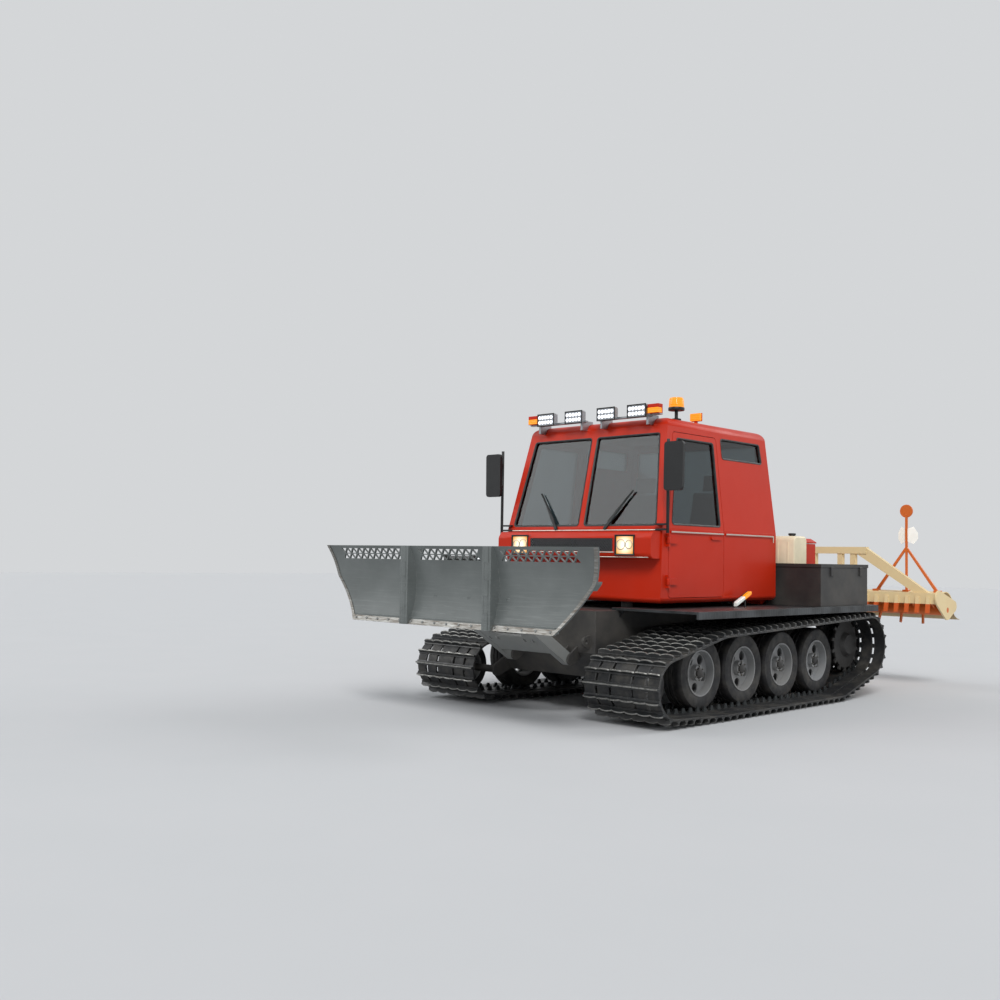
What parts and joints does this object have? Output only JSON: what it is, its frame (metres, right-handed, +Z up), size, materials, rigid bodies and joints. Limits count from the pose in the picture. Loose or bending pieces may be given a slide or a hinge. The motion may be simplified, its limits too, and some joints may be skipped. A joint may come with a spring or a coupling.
{
  "type": "tracked snow groomer",
  "caption": "Tracked snow groomer with a folding front blade on a lift linkage, a glazed cab with hinged doors and a raised rear tiller.",
  "frame": {"origin": "on the ground at the middle of the machine's length and width", "axes": "+Z up, the blade faces -Y, +X is the machine's left side"},
  "size_m": [3.32, 6.6174, 2.904],
  "materials": {
    "frame_paint": "satin",
    "wheel_paint": "satin",
    "tyre_rubber": "matte",
    "drive_plastic": "satin",
    "track": "matte",
    "tread_plate": "satin",
    "body_paint": "gloss",
    "glass": "clear",
    "black_plastic": "matte",
    "lamp_lens": "gloss",
    "lamp_alloy": "satin",
    "amber_lens": "gloss",
    "seat_cloth": "woven",
    "engine_iron": "matte",
    "exhaust_steel": "satin",
    "red_lens": "gloss",
    "link_paint": "satin",
    "blade_steel": "satin",
    "cylinder_paint": "satin",
    "rod_chrome": "polished",
    "vane_white": "satin",
    "tiller_paint": "satin",
    "flap_rubber": "matte"
  },
  "bodies": {
    "chassis": {"chassis": "frame_paint", "brackets": "frame_paint", "wheel_arms": "frame_paint", "road_wheels": "wheel_paint", "tyres": "tyre_rubber", "sprockets": "drive_plastic", "track_left": "track", "track_right": "track", "decks": "tread_plate", "cab_frame": "body_paint", "cab_roof": "body_paint", "windscreen": "glass", "cab_glass": "glass", "front_panel": "body_paint", "grille": "black_plastic", "headlamps": "lamp_lens", "roof_lamps": "lamp_alloy", "beacon": "amber_lens", "wipers": "black_plastic", "mirrors": "black_plastic", "seat_frames": "black_plastic", "seat_pads": "seat_cloth", "console": "black_plastic", "engine_block": "engine_iron", "engine_bay": "body_paint", "exhaust": "exhaust_steel", "side_boxes": "frame_paint", "rear_lamps": "red_lens"},
    "door_left": {"door_left": "body_paint", "glass_left": "glass"},
    "door_right": {"door_right": "body_paint", "glass_right": "glass"},
    "hood": {"hood": "body_paint"},
    "lift_arms": {"lift_arms": "link_paint"},
    "top_link": {"top_link": "link_paint"},
    "carrier": {"carrier": "link_paint"},
    "swivel_frame": {"swivel_frame": "link_paint"},
    "blade_centre": {"blade_centre": "blade_steel"},
    "wing_left": {"wing_left": "blade_steel"},
    "wing_right": {"wing_right": "blade_steel"},
    "lift_barrels": {"lift_barrels": "cylinder_paint"},
    "lift_rods": {"lift_rods": "rod_chrome"},
    "swivel_barrel": {"swivel_barrel": "cylinder_paint"},
    "swivel_rod": {"swivel_rod": "rod_chrome"},
    "tilt_barrel": {"tilt_barrel": "cylinder_paint"},
    "tilt_rod": {"tilt_rod": "rod_chrome"},
    "wing_barrel_left": {"wing_barrel_left": "cylinder_paint"},
    "wing_rod_left": {"wing_rod_left": "rod_chrome"},
    "wing_barrel_right": {"wing_barrel_right": "cylinder_paint"},
    "wing_rod_right": {"wing_rod_right": "rod_chrome"},
    "rear_arms": {"rear_arms": "tiller_paint"},
    "rear_link": {"rear_link": "tiller_paint"},
    "rear_carrier": {"rear_carrier": "tiller_paint"},
    "rear_barrels": {"rear_barrels": "cylinder_paint"},
    "rear_rods": {"rear_rods": "rod_chrome"},
    "tiller_frame": {"tiller_frame": "tiller_paint", "comb_flap": "flap_rubber", "marker_frames": "tiller_paint", "marker_vanes": "vane_white"},
    "tiller_rotor": {"tiller_rotor": "tiller_paint"}
  },
  "joints": [
    {"name": "door_left", "type": "hinge", "parent": "chassis", "child": "door_left", "pos_m": [0.963, -1.48532, 1.165], "axis": [0, 0, -1], "range_deg": [0, 70]},
    {"name": "door_right", "type": "hinge", "parent": "chassis", "child": "door_right", "pos_m": [-0.963, -1.48532, 1.165], "axis": [0, 0, 1], "range_deg": [0, 70]},
    {"name": "hood_lid", "type": "hinge", "parent": "chassis", "child": "hood", "pos_m": [0, 0.42468, 1.604], "axis": [1, 0, 0], "range_deg": [0, 60]},
    {"name": "blade_lift", "type": "hinge", "parent": "chassis", "child": "lift_arms", "pos_m": [0, -2.11132, 0.5], "axis": [-1, 0, 0], "range_deg": [-60, 0]},
    {"name": "top_link", "type": "hinge", "parent": "chassis", "child": "top_link", "pos_m": [0, -2.11132, 0.82], "axis": [-1, 0, 0], "range_deg": [-60.1, 0]},
    {"name": "carrier_level", "type": "hinge", "parent": "lift_arms", "child": "carrier", "pos_m": [0, -2.80672, 0.93453], "axis": [-1, 0, 0], "range_deg": [0, 60.1]},
    {"name": "lift_barrels", "type": "hinge", "parent": "chassis", "child": "lift_barrels", "pos_m": [0, -1.99132, 1.18], "axis": [-1, 0, 0], "range_deg": [-14.11, 0]},
    {"name": "lift_rods", "type": "slide", "parent": "lift_barrels", "child": "lift_rods", "axis": [0, -0.7157, -0.6985], "range_m": [0, 0.35981]},
    {"name": "blade_swivel", "type": "hinge", "parent": "carrier", "child": "swivel_frame", "pos_m": [0, -2.97172, 1.08453], "axis": [0, 0, 1], "range_deg": [-15, 15]},
    {"name": "swivel_barrel", "type": "hinge", "parent": "carrier", "child": "swivel_barrel", "pos_m": [-0.423, -2.86172, 1.36153], "axis": [0, 0, 1], "range_deg": [-0.88, 0.88]},
    {"name": "swivel_rod", "type": "slide", "parent": "swivel_barrel", "child": "swivel_rod", "axis": [1, 0, 0], "range_m": [-0.02866, 0.02866]},
    {"name": "blade_tilt", "type": "hinge", "parent": "swivel_frame", "child": "blade_centre", "pos_m": [0, -3.09372, 1.08453], "axis": [0, -1, 0], "range_deg": [-8, 8]},
    {"name": "tilt_barrel", "type": "hinge", "parent": "swivel_frame", "child": "tilt_barrel", "pos_m": [-0.345, -3.09372, 1.28953], "axis": [0, -1, 0], "range_deg": [-1.72, 1.72]},
    {"name": "tilt_rod", "type": "slide", "parent": "tilt_barrel", "child": "tilt_rod", "axis": [1, 0, 0], "range_m": [-0.02863, 0.02863]},
    {"name": "wing_left", "type": "hinge", "parent": "blade_centre", "child": "wing_left", "pos_m": [0.5, -3.28668, 1], "axis": [0, 0, -1], "range_deg": [0, 60]},
    {"name": "wing_barrel_left", "type": "hinge", "parent": "blade_centre", "child": "wing_barrel_left", "pos_m": [0.2, -3.02168, 1], "axis": [0, 0, -1], "range_deg": [0, 23.49]},
    {"name": "wing_rod_left", "type": "slide", "parent": "wing_barrel_left", "child": "wing_rod_left", "axis": [1, 0, 0], "range_m": [0, 0.20921]},
    {"name": "wing_right", "type": "hinge", "parent": "blade_centre", "child": "wing_right", "pos_m": [-0.5, -3.28668, 1], "axis": [0, 0, 1], "range_deg": [0, 60]},
    {"name": "wing_barrel_right", "type": "hinge", "parent": "blade_centre", "child": "wing_barrel_right", "pos_m": [-0.2, -3.02168, 1], "axis": [0, 0, 1], "range_deg": [0, 23.49]},
    {"name": "wing_rod_right", "type": "slide", "parent": "wing_barrel_right", "child": "wing_rod_right", "axis": [-1, 0, 0], "range_m": [0, 0.20921]},
    {"name": "rear_lift", "type": "hinge", "parent": "chassis", "child": "rear_arms", "pos_m": [0, 1.70868, 0.56], "axis": [1, 0, 0], "range_deg": [-55, 0]},
    {"name": "rear_link", "type": "hinge", "parent": "chassis", "child": "rear_link", "pos_m": [0, 1.70868, 0.88], "axis": [1, 0, 0], "range_deg": [-55.1, 0]},
    {"name": "rear_level", "type": "hinge", "parent": "rear_arms", "child": "rear_carrier", "pos_m": [0, 2.4015, 0.96], "axis": [1, 0, 0], "range_deg": [0, 55.1]},
    {"name": "rear_barrels", "type": "hinge", "parent": "chassis", "child": "rear_barrels", "pos_m": [0, 1.65868, 1.23], "axis": [1, 0, 0], "range_deg": [-12.08, 0]},
    {"name": "rear_rods", "type": "slide", "parent": "rear_barrels", "child": "rear_rods", "axis": [0, 0.6591, -0.752], "range_m": [0, 0.34304]},
    {"name": "tiller_pitch", "type": "hinge", "parent": "rear_carrier", "child": "tiller_frame", "pos_m": [0, 2.4915, 1], "axis": [1, 0, 0], "range_deg": [-12, 15]},
    {"name": "tiller_spin", "type": "hinge", "parent": "tiller_frame", "child": "tiller_rotor", "pos_m": [0, 2.87868, 0.88], "axis": [1, 0, 0], "continuous": true}
  ],
  "couplings": [
    {"joint": "top_link", "follows": "blade_lift", "ratio": 1},
    {"joint": "carrier_level", "follows": "blade_lift", "ratio": -1},
    {"joint": "lift_barrels", "follows": "blade_lift", "ratio": 0.23489},
    {"joint": "lift_rods", "follows": "blade_lift", "m_per_rad": -0.34325},
    {"joint": "swivel_barrel", "follows": "blade_swivel", "ratio": 0.058537},
    {"joint": "swivel_rod", "follows": "blade_swivel", "m_per_rad": -0.10935},
    {"joint": "tilt_barrel", "follows": "blade_tilt", "ratio": 0.21497},
    {"joint": "tilt_rod", "follows": "blade_tilt", "m_per_rad": -0.2048},
    {"joint": "wing_barrel_left", "follows": "wing_left", "ratio": 0.39108},
    {"joint": "wing_rod_left", "follows": "wing_left", "m_per_rad": 0.19957},
    {"joint": "wing_barrel_right", "follows": "wing_right", "ratio": 0.39108},
    {"joint": "wing_rod_right", "follows": "wing_right", "m_per_rad": 0.19957},
    {"joint": "rear_link", "follows": "rear_lift", "ratio": 1},
    {"joint": "rear_level", "follows": "rear_lift", "ratio": -1},
    {"joint": "rear_barrels", "follows": "rear_lift", "ratio": 0.21947},
    {"joint": "rear_rods", "follows": "rear_lift", "m_per_rad": -0.35699}
  ]
}
